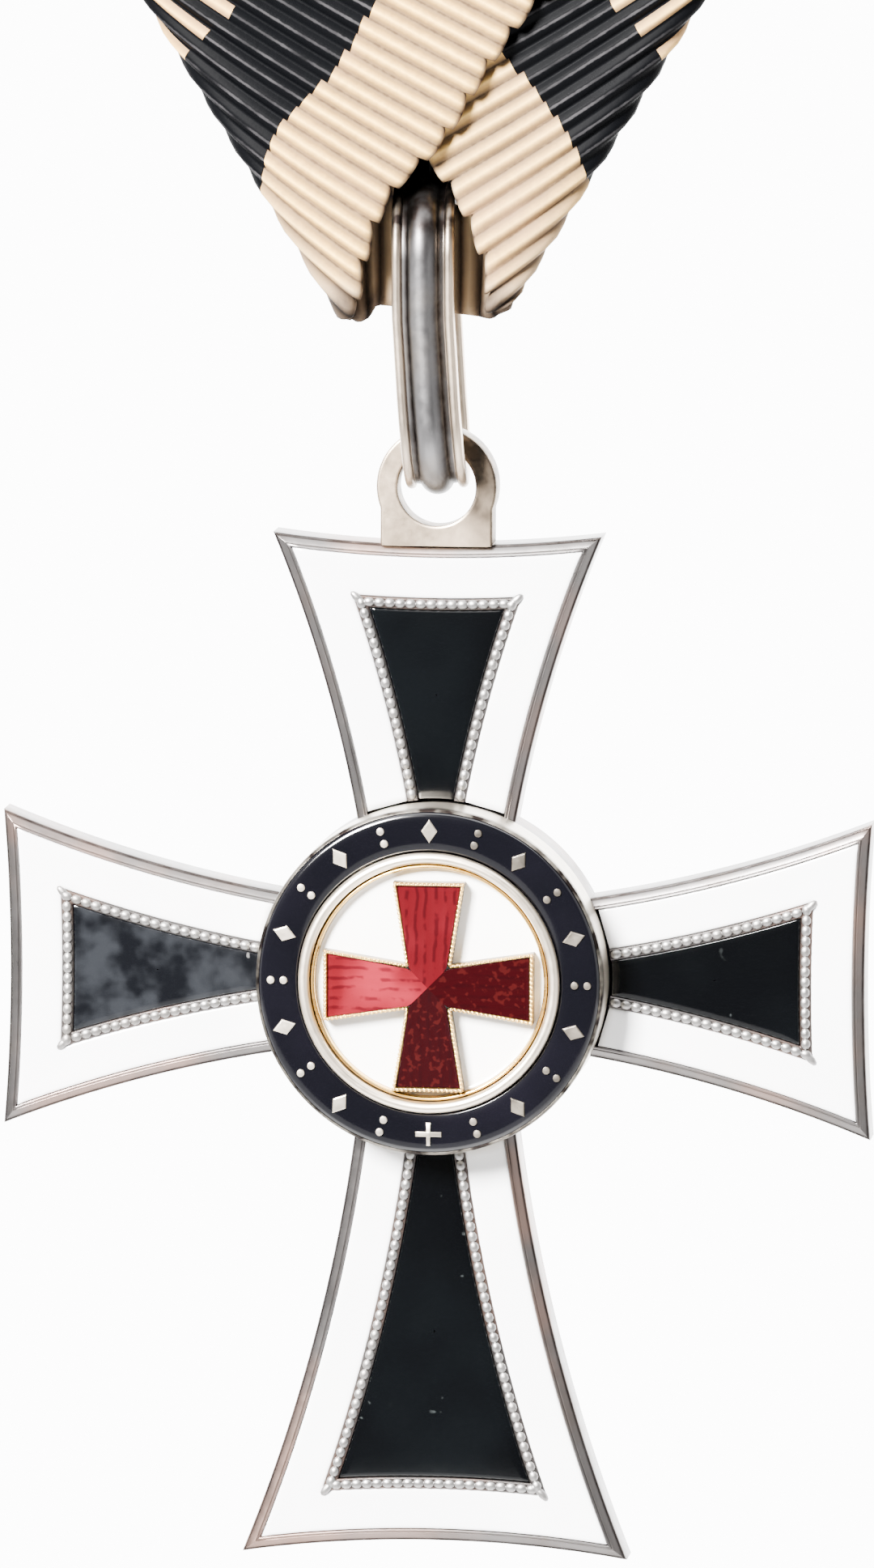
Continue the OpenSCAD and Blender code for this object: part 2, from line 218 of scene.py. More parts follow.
def field_loop(arm, inset, r):
    """Outline of an arm's field: its edge moved inwards and closed by an arc of the circle r."""
    pts = arm_path(arm, inset, r)
    a0, a1 = math.atan2(pts[-1][1], pts[-1][0]), math.atan2(pts[0][1], pts[0][0])
    d = (a1 - a0 + math.pi) % (2 * math.pi) - math.pi
    inner = (a0 + d * k / N_ARC for k in range(1, N_ARC))
    return np.vstack([pts, [(r * math.cos(a), r * math.sin(a)) for a in inner]])


# ---------------------------------------------------------------- materials
class Nodes:
    """A short way to write a node material; a value is a number, a colour or a link from another node."""

    def __init__(self, name, **inputs):
        self.mat = bpy.data.materials.new(name)
        self.mat.use_nodes = True
        self.tree = self.mat.node_tree
        self.shader = self.tree.nodes["Principled BSDF"]
        self.to(**inputs)

    def to(self, **inputs):
        """Sets or links the shader's sockets."""
        for k, v in inputs.items():
            self.put(v, self.shader.inputs[k.replace("_", " ")])

    def put(self, value, socket):
        if hasattr(value, "links"):
            self.tree.links.new(value, socket)
        else:
            socket.default_value = (*value, 1.0) if isinstance(value, tuple) else value

    def new(self, kind, values=None, **props):
        """A node with its properties set and its input sockets set or linked."""
        n = self.tree.nodes.new(kind)
        for k, v in props.items():
            setattr(n, k, v)
        for k, v in (values or {}).items():
            self.put(v, n.inputs[k])
        return n

    def attr(self, name):
        return self.new("ShaderNodeAttribute", attribute_name=name).outputs["Fac"]

    def math(self, op, a, b=0.0, clamp=False):
        return self.new("ShaderNodeMath", {0: a, 1: b}, operation=op, use_clamp=clamp).outputs[0]

    def times(self, a, b):
        return self.math("MULTIPLY", a, b)

    def noise(self, scale, detail, rough):
        """Noise that stays with the object."""
        place = self.new("ShaderNodeTexCoord").outputs["Object"]
        values = {"Scale": scale, "Detail": detail, "Roughness": rough, "Vector": place}
        return self.new("ShaderNodeTexNoise", values).outputs["Fac"]

    def ramp(self, fac, stops):
        n = self.new("ShaderNodeValToRGB", {0: fac})
        els = n.color_ramp.elements
        while len(els) < len(stops):
            els.new(0.5)
        for e, (pos, col) in zip(els, stops):
            e.position = pos
            e.color = (*col, 1)
        return n.outputs[0]

    def span(self, value, lo, hi, out0=0.0, out1=1.0, **kind):
        """Maps lo to hi onto out0 to out1, and no further."""
        values = {"Value": value, "From Min": lo, "From Max": hi, "To Min": out0, "To Max": out1}
        return self.new("ShaderNodeMapRange", values, **kind).outputs[0]

    def step(self, value, lo, hi):
        """Goes smoothly from 0 at lo to 1 at hi."""
        return self.span(value, lo, hi, interpolation_type="SMOOTHSTEP")

    def mix(self, fac, a, b):
        return self.new("ShaderNodeMix", {"Factor": fac, 6: a, 7: b}, data_type="RGBA").outputs[2]

    def bump(self, height, dist, strength, **normal):
        values = {"Distance": dist, "Strength": strength, "Height": height, **normal}
        return self.new("ShaderNodeBump", values).outputs[0]


COPPER_TONE = (0.3, 0.17, 0.125)
WARM_TONE = (0.85, 0.66, 0.47)
# Dark tone set per point: tarnish in hollows on some parts, painted shade on others
TARNISH_AND_SHADE_TONE = (0.012, 0.009, 0.008)


def silver(name, base, dull, rough, tarnish=0.25, edge=0.05, copper=0.0):
    """Worn metal: tarnish and copper in patches, fine scratches, rounded edges, and a dark tone set per point,
    which is tarnish in hollows on some parts and painted shade on others.
    """
    m = Nodes(name, Metallic=1.0)
    patch = m.noise(260, 4, 0.6)
    fine = m.noise(2600, 3, 0.6)
    col = m.mix(m.times(m.step(patch, 0.48, 0.74), tarnish), base, dull)
    if copper:
        col = m.mix(m.times(m.step(m.noise(95, 3, 0.6), 0.5, 0.66), copper), col, COPPER_TONE)
    col = m.mix(m.attr("warm"), col, WARM_TONE)
    uneven = m.span(m.noise(1300, 2, 0.5), 0.3, 0.6, 0.75, 1.0)
    dirt = m.math("MULTIPLY", m.attr("dirt"), uneven, clamp=True)
    worn = m.span(patch, 0.3, 0.7, rough - 0.05, rough + 0.08)
    worn = m.math("ADD", worn, m.span(fine, 0.3, 0.7, -0.03, 0.03))
    rounded = m.new("ShaderNodeBevel", {"Radius": edge * MM}, samples=4).outputs[0]
    m.to(Base_Color=m.mix(dirt, col, TARNISH_AND_SHADE_TONE), Roughness=m.math("ADD", worn, m.times(dirt, 0.05), clamp=True),
         Normal=m.bump(fine, 0.004 * MM, 0.35, Normal=rounded))
    return m.mat


def enamel(name, base, low_tint, rough, speck=None, grain=170):
    """Opaque fired enamel with a soft uneven gloss and, where given, rare light specks."""
    m = Nodes(name, Roughness=rough, IOR=1.5)
    col = m.mix(m.step(m.noise(grain, 2, 0.5), 0.35, 0.7), base, low_tint)
    if speck:
        dots = m.step(m.noise(2300, 1, 0.3), 0.72, 0.78)
        rare = m.step(m.noise(420, 1, 0.5), 0.6, 0.66)
        col = m.mix(m.times(dots, rare), col, speck)
    m.to(Base_Color=col, Normal=m.bump(m.noise(420, 2, 0.5), 0.02 * MM, 0.5))
    return m.mat


SILVER = silver("silver_worn", (0.12, 0.112, 0.109), (0.08, 0.061, 0.051), 0.33, 0.5, copper=0.45)
BRIGHT = silver("silver_bright", (0.85, 0.78, 0.66), (0.6, 0.5, 0.36), 0.34)
BEADS = silver("silver_beads", (0.25, 0.242, 0.236), (0.16, 0.14, 0.12), 0.42, 0.6)
RING_METAL = silver("silver_ring", (0.17, 0.166, 0.168), (0.13, 0.11, 0.085), 0.33, 0.5)
GILT = silver("gilt", (0.8, 0.52, 0.16), (0.5, 0.3, 0.08), 0.25, 0.4)
PIN_METAL = silver("pin_metal", (0.45, 0.45, 0.44), (0.3, 0.28, 0.25), 0.35, 0.3, 0.15)

WHITE = enamel("white_enamel", (0.8, 0.797, 0.803), (0.76, 0.762, 0.776), 0.16)
FIELD_WHITE = enamel("field_enamel", (0.92, 0.91, 0.885), (0.89, 0.88, 0.855), 0.16)
BLACK = enamel("black_enamel", (0.0004, 0.0005, 0.0007), (0.0009, 0.0012, 0.0015), 0.12, (0.02, 0.023, 0.023))
# Black of the left arm: worn and specked, and lighter for a painted reflection on the side towards the light
WORN_BLACK_PAINTED_REFLECTION = enamel("worn_black_enamel_painted_reflection", (0.0012, 0.0014, 0.002), (0.0086, 0.0094, 0.011), 0.16,
                    (0.06, 0.06, 0.06), grain=900)
RING_BLACK = enamel("ring_enamel", (0.0012, 0.0012, 0.002), (0.0022, 0.002, 0.0034), 0.12)


# ---------------------------------------------------------------- cross: silver
cross_parts = Parts(("dirt", "warm"))
# (inset, height) over the plate's side, the rim and the floor under the enamel, with the tarnish at each point
RIM = [(0.02, -PLATE_T), (0.0, -PLATE_T + 0.04), (0.0, -0.28), (0.015, -0.23), (0.05, -0.19), (0.08, -0.19),
       (0.1, -0.16), (0.14, -0.11), (0.35, -0.02), (0.38, -0.03), (0.41, 0.0), (0.46, 0.015), (0.49, 0.0),
       (0.505, -0.04), (0.51, -0.45), (2.24, -0.45)]
RIM_DIRT = [0, 0, 0, 0.3, 0.95, 1.0, 0.5, 0, 0, 0.9, 0.3, 0, 0, 0.5, 1, 1]
WIRE = [(WIRE_IN, -0.45), (WIRE_IN, -0.05), (WIRE_IN + 0.05, 0.0), (WIRE_OUT - 0.05, 0.0), (WIRE_OUT, -0.05),
        (WIRE_OUT, -0.45)]
for arm in ARMS:
    arm_strip(cross_parts, arm, RIM, 7.0, dirt=RIM_DIRT)
outline = np.vstack([arm_path(arm, 0.02, NECK_REACH) for arm in ARMS])
cross_parts.add(to3(outline, -PLATE_T), [tuple(range(len(outline)))])
lathe(cross_parts, [(7.3, -2.0), (7.34, -1.96), (7.34, 0.0)], y0=PLATE_FRONT)
lathe(cross_parts, [(0.001, -2.5), (6.9, -2.5), (7.1, -2.47), (7.18, -2.38), (7.2, -1.98)], y0=PLATE_FRONT)
for arm in ARMS:
    arm_strip(cross_parts, arm, WIRE, GAP_R, dirt=0.55)

EYE_UP, EYE_R, HOLE_R, EYE_HALF_T = 20.68, 2.54, 1.65, 0.7
FOOT_HALF, FOOT_DOWN, FOOT_FROM = 2.37, -2.5, -0.35  # the last is the sine of where the foot begins
EYE_SEG = 160


def eyelet(parts):
    """Eyelet ring on its square foot, with softly rounded edges, darker in the hole and round its front edge,
    and painted shade on its right.
    """
    ang = np.linspace(-math.pi / 2, 1.5 * math.pi, EYE_SEG, endpoint=False)

    def outer(grow):
        """Round above, square where the foot begins."""
        out = []
        for a in ang:
            c, s = math.cos(a), math.sin(a)
            r = EYE_R + grow
            if s < FOOT_FROM:
                r = min((FOOT_HALF + grow) / max(abs(c), 1e-6), FOOT_DOWN / s)
            out.append((r * c, r * s))
        return np.array(out) + [0, EYE_UP]

    def hole(r):
        return np.stack([r * np.cos(ang), r * np.sin(ang)], 1) + [0, EYE_UP]

    y_front, y_back = PLATE_FRONT - (BAND_Y - EYE_HALF_T), PLATE_FRONT - (BAND_Y + EYE_HALF_T)
    rows = [to3(line, y) for line, y in (
        (hole(HOLE_R), y_back + 0.08), (hole(HOLE_R + 0.08), y_back), (hole(HOLE_R + 0.12), y_back),
        (outer(-0.12), y_back), (outer(-0.08), y_back), (outer(0), y_back + 0.08),
        (outer(0), y_front - 0.1), (outer(-0.03), y_front - 0.03), (outer(-0.08), y_front),
        (outer(-0.12), y_front), (hole(HOLE_R + 0.12), y_front), (hole(HOLE_R + 0.08), y_front),
        (hole(HOLE_R + 0.02), y_front - 0.03), (hole(HOLE_R), y_front - 0.09))]
    # Painted shade on the right of the eyelet, the side away from the light
    right = np.clip(np.cos(ang - 0.45), 0, 1)
    dirt = np.array([1, 0.8, 0, 0, 0, 0.2, 0.2, 0.8, 0.2, 0, 0, 0.1, 0.9, 1])[:, None] * np.ones(EYE_SEG)
    dirt[5:7] = np.maximum(dirt[5:7], np.minimum(1, 2.5 * right))
    dirt[7:12] += 0.14 + 1.1 * right ** 0.6
    parts.add(np.array(rows), grid(len(rows), EYE_SEG, close_u=True, close_v=True),
              dirt=np.clip(dirt, 0, 0.94).ravel(), warm=0.8)


eyelet(cross_parts)
silver_cross = cross_parts.make("silver_cross", SILVER, "cross", sharp=35)
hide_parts("cross_body")

# Milled wires round the black fields
FORWARD = np.array([0.0, -1.0, 0.0])


def along(loop, pitch, closed=True):
    """Evenly spaced points and directions along a path."""
    p = np.vstack([loop, loop[:1]]) if closed else loop
    seg = np.linalg.norm(np.diff(p, axis=0), axis=1)
    s = np.concatenate([[0], np.cumsum(seg)])
    count = int(round(s[-1] / pitch))
    t = (np.arange(count) + 0.5) * s[-1] / count
    xy = np.stack([np.interp(t, s, p[:, k]) for k in (0, 1)], 1)
    nxt = np.stack([np.interp(np.minimum(t + 0.05, s[-1]), s, p[:, k]) for k in (0, 1)], 1)
    d = nxt - xy
    return xy, d / np.linalg.norm(d, axis=1)[:, None]


def ball(parts, centre, way, radii, nu=8, nv=10):
    """A low, smooth bead; radii go along a direction of the cross's face, across it and forward."""
    ahead = np.array([way[0], 0, way[1]])
    ax = (ahead, np.cross(ahead, FORWARD), FORWARD)
    rows = []
    for i in range(nu + 1):
        th = math.pi * (0.02 + 0.96 * i / nu)
        for j in range(nv):
            ph = 2 * math.pi * j / nv
            d = (math.sin(th) * math.cos(ph) * radii[0], math.sin(th) * math.sin(ph) * radii[1],
                 math.cos(th) * radii[2])
            rows.append(centre + ax[0] * d[0] + ax[1] * d[1] + ax[2] * d[2])
    parts.add(np.array(rows), grid(nu + 1, nv, close_v=True))


bead_parts = Parts()
for arm in ARMS:
    path = arm_path(arm, (WIRE_IN + WIRE_OUT) / 2, GAP_R + 0.05)
    xy, way = along(path, 0.44, closed=False)
    for centre, d in zip(to3(xy, 0.0), way):
        ball(bead_parts, centre + FORWARD * 0.02, d, (0.245, 0.2, 0.13))
    mid = path.mean(0)
    for corner in (path[N_SIDE - 1], path[-N_SIDE]):
        out = (corner - mid) / np.linalg.norm(corner - mid)
        ball(bead_parts, to3([corner + out * 0.22], 0.0)[0], out, (0.36, 0.17, 0.12))
milled = bead_parts.make("milled_wires", BEADS, "cross")

# Enamel of the arms: (inset, height) over the white, (share of the outline, height) over the black
WHITE_LOFT = [(0.515, -0.3), (0.52, -0.1), (0.56, -0.06), (0.67, -0.045), (0.95, -0.05), (1.4, -0.055),
              (1.85, -0.05), (2.1, -0.045), (2.2, -0.06), (2.24, -0.1), (2.245, -0.3)]
BLACK_LOFT = [(1.0, -0.3), (0.998, -0.08), (0.99, -0.055), (0.97, -0.045), (0.8, -0.04), (0.5, -0.036),
              (0.2, -0.034), (0.01, -0.034)]
for arm in ARMS:
    p = Parts()
    arm_strip(p, arm, WHITE_LOFT, GAP_R + 0.02)
    white = p.make("white_border_" + arm, WHITE, "cross")
    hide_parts("white_enamel_" + arm)
    p = Parts()
    loop = field_loop(arm, WIRE_OUT + 0.02, GAP_R + 0.02)
    mid = loop.mean(0)
    rows = [to3(mid + (loop - mid) * k, h) for k, h in BLACK_LOFT]
    p.add(np.array(rows), grid(len(rows), len(loop), close_v=True))
    # The left arm takes the lighter black with its painted reflection
    black = p.make("black_field_" + arm, WORN_BLACK_PAINTED_REFLECTION if arm == "left" else BLACK, "cross")
    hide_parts("black_enamel_" + arm)

# ---------------------------------------------------------------- medallion
med = Parts(("dirt", "warm"))
LIP = [(DRUM_R, -DRUM_H), (DRUM_R, -0.7), (DRUM_R, -0.34), (DRUM_R - 0.02, -0.24), (7.235, -0.15),
       (7.215, -0.15), (7.21, -0.4), (5.54, -0.4)]
lathe(med, LIP, dirt=[0.35, 0.3, 0.85, 1, 1, 1, 1, 1])
BEAD_N = 19
bead = [(5.29 + 0.235 * math.cos(t), 0.26 * math.sin(t)) for t in np.linspace(-0.4, math.pi + 0.3, BEAD_N)]
lathe(med, bead + [(5.03, -0.2), (5.02, -0.45)], warm=0.35, dirt=[1, 0.6] + [0] * (BEAD_N - 3) + [0.5, 1, 1])
MARK_R, MARKS, MARK_UP = 6.42, 20, 0.04


def prism(parts, outline, ang, lift):
    """A raised mark with sloping sides, turned to stand on the ring, with painted shade that makes it darker
    the further right it stands.
    """
    o = np.asarray(outline, float)
    ca, sa = math.cos(ang), math.sin(ang)

    def place(q):
        x, z = q[:, 0], q[:, 1] + MARK_R
        return np.stack([x * ca - z * sa, x * sa + z * ca], 1)

    mid = o.mean(0)
    rows = [to3(place(mid + (o - mid) * k), h, DRUM_FRONT) for k, h in
            ((1.0, -0.38), (1.0, lift - 0.09), (0.97, lift - 0.03), (0.86, lift), (0.02, lift + 0.01))]
    parts.add(np.array(rows), grid(len(rows), len(o), close_v=True),
              dirt=np.clip(0.1 + 0.32 * rows[0][0, 0], 0.1, 0.9), warm=0.2)


def lozenge(w, h):
    return [(0, -h / 2), (w / 2, 0), (0, h / 2), (-w / 2, 0)]


def disc(up, r, n=14):
    return [(r * math.cos(2 * math.pi * k / n), up + r * math.sin(2 * math.pi * k / n)) for k in range(n)]


for i in range(1, MARKS):
    ang = math.pi + 2 * math.pi * i / MARKS
    for shape in [lozenge(0.7, 1.02)] if i % 2 == 0 else [disc(0.27, 0.17), disc(-0.27, 0.17)]:
        prism(med, shape, ang, MARK_UP)
for shape in ([(-0.1, -0.5), (0.1, -0.5), (0.08, 0.5), (-0.08, 0.5)],
              [(-0.56, -0.11), (-0.56, 0.11), (0.56, 0.11), (0.56, -0.11)]):
    prism(med, shape, math.pi, MARK_UP + 0.005)
medallion = med.make("medallion_mount", BRIGHT, "cross", sharp=32)
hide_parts("medallion")

p = Parts()
lathe(p, [(7.205, -0.3), (7.2, -0.15), (7.15, -0.09), (7.0, -0.05), (6.8, -0.038), (6.42, -0.035),
          (6.0, -0.038), (5.65, -0.045), (5.575, -0.08), (5.56, -0.3)])
black_ring = p.make("black_ring", RING_BLACK, "cross")
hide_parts("medallion_black_ring")

p = Parts()
lathe(p, [(5.01, -0.1), (4.98, -0.03), (4.93, 0.0), (4.88, -0.03), (4.85, -0.1), (4.84, -0.45)])
gilt_line = p.make("gilt_line", GILT, "cross")

p = Parts()
lathe(p, [(4.84, -0.6), (4.83, -0.4), (4.79, -0.44), (4.6, -0.45), (3.5, -0.45), (0.01, -0.45)])
white_field = p.make("white_field", FIELD_WHITE, "cross")
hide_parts("medallion_white_field")

# Small gilt cross with red enamel
REACH, END_W, NECK = 4.42, 3.0, 1.9
FIELD_H = -0.45  # the white field's height over the medallion's front
BADGE_AT = [0, -0.15]
ENAMEL_IN = 0.175  # from the badge's outline in to the red
QUARTERS = [-q * math.pi / 2 for q in range(4)]
# (inset, height over the field, darkening) over the gilt edge; the darkening on the side walls is painted shade
GILT_EDGE = [(0.0, 0.0, 1), (0.0, 0.62, 0.75), (0.015, 0.68, 0.2), (0.06, 0.73, 0), (0.11, 0.73, 0),
             (0.15, 0.68, 0.4), (0.17, 0.4, 1)]


def badge_outline(inset):
    """Outline of four flared arms, once round."""
    e, n, r, c = END_W / 2 - inset, NECK / 2 - inset, REACH - inset, NECK / 2
    k = (e - n) / (r - c)
    side = [(n + k * t * (r - c), c + t * (r - c)) for t in np.linspace(0, 1, 9)]
    arm = np.array([(-x, z) for x, z in side] + side[::-1])
    return np.vstack([turned(arm, t) for t in QUARTERS]) + BADGE_AT


p = Parts(("dirt", "warm"))
rows = [to3(badge_outline(inset), FIELD_H + up, DRUM_FRONT) for inset, up, _ in GILT_EDGE]
p.add(np.array(rows), grid(len(rows), len(rows[0]), close_v=True),
      dirt=per_point([d for _, _, d in GILT_EDGE], len(rows), len(rows[0])))
xy, way = along(badge_outline(0.05), 0.19)
for centre, d in zip(to3(xy, FIELD_H + 0.7, DRUM_FRONT), way):
    ball(p, centre, d, (0.085, 0.08, 0.07), 4, 7)
gilt_cross = p.make("gilt_cross", GILT, "cross", sharp=50)
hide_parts("centre_cross")


def red_enamel():
    """Translucent red over an engraved ground, with painted light: a share per arm makes its red bright or
    dark, with pink patches of painted light on the bright arms and small painted sparkles on the dark ones.
    """
    m = Nodes("red_enamel", Roughness=0.2, Specular_IOR_Level=0.1)
    across, lit = m.attr("across"), m.attr("lit")
    wave = m.math("SINE", m.math("ADD", m.times(across, 15.0), m.times(m.noise(900, 2, 0.5), 6.0)))
    lines = m.step(wave, 0.0, 1.0)
    broken = m.step(m.noise(1500, 2, 0.6), 0.4, 0.56)
    ground = m.mix(lit, (0.003, 0.0003, 0.0005), (0.053, 0.0024, 0.0042))
    painted_glow = m.mix(lit, (0.012, 0.0008, 0.0015), (0.152, 0.0092, 0.017))
    patch = m.times(m.step(m.noise(330, 2, 0.5), 0.42, 0.68), m.step(lit, 0.3, 1.0))
    col = m.mix(m.times(patch, 0.75), ground, painted_glow)
    col = m.mix(m.times(m.times(lines, broken), 0.55), col, (0.006, 0.0005, 0.0009))
    painted_glint = m.times(m.step(m.noise(4200, 1, 0.4), 0.56, 0.68), m.span(lit, 0, 0.6, 0.17, 0))
    m.to(Base_Color=m.mix(painted_glint, col, (0.075, 0.01, 0.008)), Normal=m.bump(wave, 0.006 * MM, 0.4))
    return m.mat


# Four leaves, one for each arm, that meet in the middle at the top of a shallow roof
LEAF_LONG, LEAF_WIDE = 26, 12
LEAF_REACH, LEAF_NECK = REACH - ENAMEL_IN, NECK / 2 - ENAMEL_IN
p = Parts(("across", "lit"))
# Each arm's share of painted light: left and top arms painted bright, right and bottom dark
for t, lit in zip(QUARTERS, (0.65, 0.12, 0.1, 1.0)):
    pts, across = [], []
    for z in [i / (LEAF_LONG - 1) * LEAF_REACH for i in range(LEAF_LONG)]:
        w = z if z < LEAF_NECK else LEAF_NECK + (END_W - NECK) / 2 * (z - LEAF_NECK) / (LEAF_REACH - LEAF_NECK)
        for j in range(LEAF_WIDE + 1):
            x = w * (2 * j / LEAF_WIDE - 1)
            pts.append((x, z))
            across.append(x / max(w, 0.3) * min(w, 1.4))
    pts = np.array(pts)
    p3 = to3(turned(pts, t) + BADGE_AT, 0, DRUM_FRONT)
    p3[:, 1] -= FIELD_H + 0.92 - 0.075 * pts[:, 1]
    p.add(p3, grid(LEAF_LONG, LEAF_WIDE + 1), across=across, lit=lit)
red_cross = p.make("red_cross", red_enamel(), "cross", sharp=3)
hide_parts("centre_cross_enamel")

# ---------------------------------------------------------------- long ring
LINK_IN, LINK_WALL = 2.2, 1.17
LINK_LEG = 13.5 - 2 * (LINK_IN + LINK_WALL)
LINK_TOP = RIB_LOW + 4.3 + 0.2 - LINK_IN
LEAN, TURN = math.radians(1.9), math.radians(3.5)  # sideways, and about the upright
# How far the ring is bent to the left, by height
BEND_Z, BEND_X = (-10.2, -7.5, -6.4, -2.4, 2.0, 3.5), (0, 0.08, 0.15, 0.27, 0.16, 0.14)
BULGE_MID, BULGE_R, BULGE_HALF = 0.45, 0.72, 0.27
LOBE_MID, LOBE_X, LOBE_R = 0.7, 1.09, 0.21
N_TURN, N_LEG = 49, 8  # points of a half circle, steps of a leg


def link_section():
    """(height over the inner face, across), once round: a bulge between two lobes at the edges."""
    half = [(0.0, 1.0), (0.02, 1.16), (0.09, 1.26), (0.22, 1.3), (0.5, 1.3)]
    for a in np.linspace(0, 1.02 * math.pi, 9):
        half.append((LOBE_MID + LOBE_R * math.sin(a), LOBE_X + LOBE_R * math.cos(a)))
    half.append((0.7, 0.845))
    edge = math.asin(BULGE_HALF / BULGE_R)
    for a in np.linspace(math.pi / 2 - edge, 0, 12):
        half.append((BULGE_MID + BULGE_R * math.cos(a), BULGE_R * math.sin(a)))
    return half + [(r, -x) for r, x in half[-2::-1]]


def link():
    """The long ring: its section round two half circles and two legs, then leaned, turned and slightly bent."""
    sec = np.array(link_section())
    path = [(0, (math.cos(a), math.sin(a))) for a in np.linspace(0, math.pi, N_TURN)]
    path += [(-LINK_LEG * k / N_LEG, (-1.0, 0.0)) for k in range(1, N_LEG)]
    path += [(-LINK_LEG, (math.cos(a), math.sin(a))) for a in np.linspace(math.pi, 2 * math.pi, N_TURN)]
    path += [(-LINK_LEG * k / N_LEG, (1.0, 0.0)) for k in range(N_LEG - 1, 0, -1)]
    r = LINK_IN + sec[:, 0]
    pts = np.array([np.stack([sec[:, 1], r * ny, cz + r * nz], 1) for cz, (ny, nz) in path]).reshape(-1, 3)
    cl, sl = math.cos(-LEAN), math.sin(-LEAN)
    x, z = pts[:, 0] * cl + pts[:, 2] * sl, -pts[:, 0] * sl + pts[:, 2] * cl
    ct, st = math.cos(TURN), math.sin(TURN)
    x, y = x * ct - pts[:, 1] * st, x * st + pts[:, 1] * ct
    x = x - np.interp(z, BEND_Z, BEND_X)
    across = sec[:, 1]
    # Darker in the grooves beside the lobes from tarnish, painted shade over the right half of the bulge, and
    # painted shade towards the top, where the ribbon covers the ring
    tarnish = np.clip(1.4 - np.abs(np.abs(across) - 0.7) / 0.16, 0, 1) * (sec[:, 0] > 0.4)
    tarnish = np.maximum(tarnish, np.clip((across - 0.1) / 0.5, 0, 0.82) * (across < 0.8))
    p = Parts(("dirt", "warm"))
    p.add(np.stack([x, BAND_Y + y, LINK_TOP + z], 1), grid(len(path), len(sec), close_u=True, close_v=True),
          dirt=np.maximum(np.tile(tarnish, len(path)), np.clip((z + 0.6) / 2.0, 0, 1)),
          warm=np.tile(0.55 * (across > 0.85) + 0.45 * (across < -0.85), len(path)))
    return p.make("long_ring", RING_METAL, "ring", sharp=60)


ring = link()
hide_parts("suspension_ring")

# ---------------------------------------------------------------- ribbon
PITCH = 0.84
RIBBON_W = 39
CREAM_U, BLACK_U, LADDER_U = 5.2, 10.1, 27.75
# The fold line goes up and out at SLOPE; D is along it, N is across it, into the ribbon
SLOPE = math.radians(58.2)
N = np.array([math.sin(SLOPE), math.cos(SLOPE)])
D = np.array([-math.cos(SLOPE), math.sin(SLOPE)])
# The ribs' turn from the fold line, in degrees, that leaves them upright behind
UPRIGHT = math.degrees(2 * SLOPE) - 90
# Cream silk from crest to groove, with painted shade deepening into the grooves; as it is, and darkened a
# little and much by soiling and painted shade
CREAM_TONES = [(0.0, (0.79, 0.495, 0.136)), (0.13, (0.45, 0.262, 0.072)), (0.3, (0.21, 0.124, 0.044)),
               (0.42, (0.15, 0.095, 0.047)), (0.5, (0.06, 0.037, 0.02))]
SOILED_AND_SHADED_TONES = [(0.0, (0.36, 0.255, 0.145)), (0.22, (0.22, 0.15, 0.085)), (0.4, (0.08, 0.054, 0.034)),
                (0.5, (0.028, 0.019, 0.013))]
DARK_TONES = [(0.0, (0.06, 0.044, 0.033)), (0.22, (0.036, 0.026, 0.02)), (0.4, (0.012, 0.009, 0.007)),
              (0.5, (0.005, 0.004, 0.0035))]


